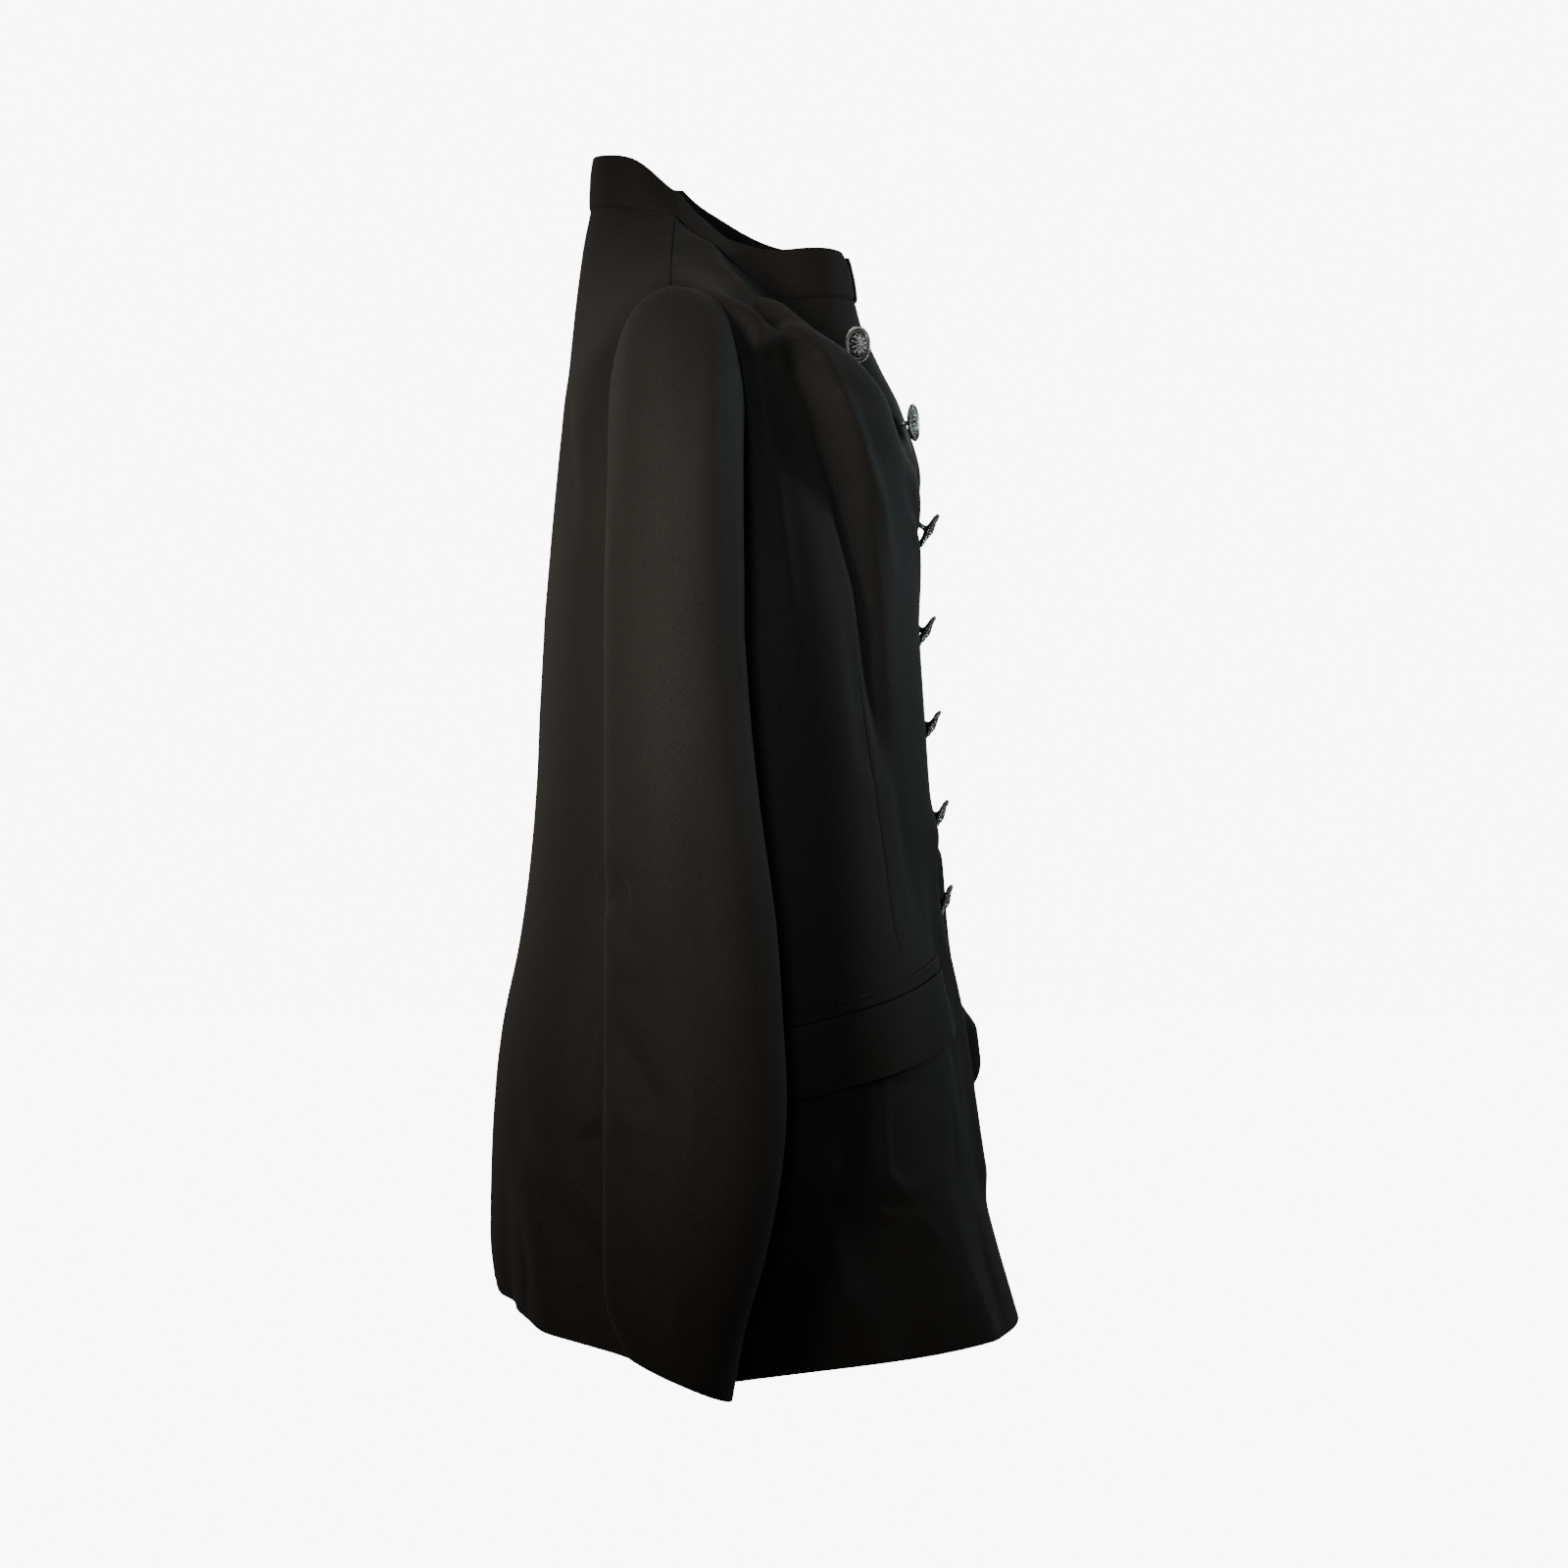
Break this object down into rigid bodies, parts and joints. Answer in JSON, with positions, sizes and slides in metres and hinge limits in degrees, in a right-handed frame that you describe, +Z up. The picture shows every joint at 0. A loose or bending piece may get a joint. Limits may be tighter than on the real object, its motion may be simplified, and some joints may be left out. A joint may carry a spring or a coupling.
{
  "type": "blazer",
  "caption": "Long black blazer in its worn shape, with a stand collar, long sleeves, slanted pocket flaps and a row of domed metal buttons.",
  "frame": {"origin": "middle of the neck opening, level with the points where the shoulder seams meet the collar", "axes": "+Z up along the back, -Y out of the front, +X to the wearer's left"},
  "size_m": [0.6148, 0.3339, 0.743],
  "materials": {
    "suiting": "matt suiting with a soft sheen",
    "button_metal": "antique silver"
  },
  "bodies": {
    "root": {"right_front": "suiting", "left_front": "suiting", "back": "suiting", "right_sleeve": "suiting", "left_sleeve": "suiting", "collar": "suiting", "right_flap": "suiting", "left_flap": "suiting", "right_welt": "suiting", "left_welt": "suiting", "button_1": "button_metal", "button_2": "button_metal", "button_3": "button_metal", "button_4": "button_metal", "button_5": "button_metal", "button_6": "button_metal", "button_7": "button_metal"}
  },
  "joints": []
}
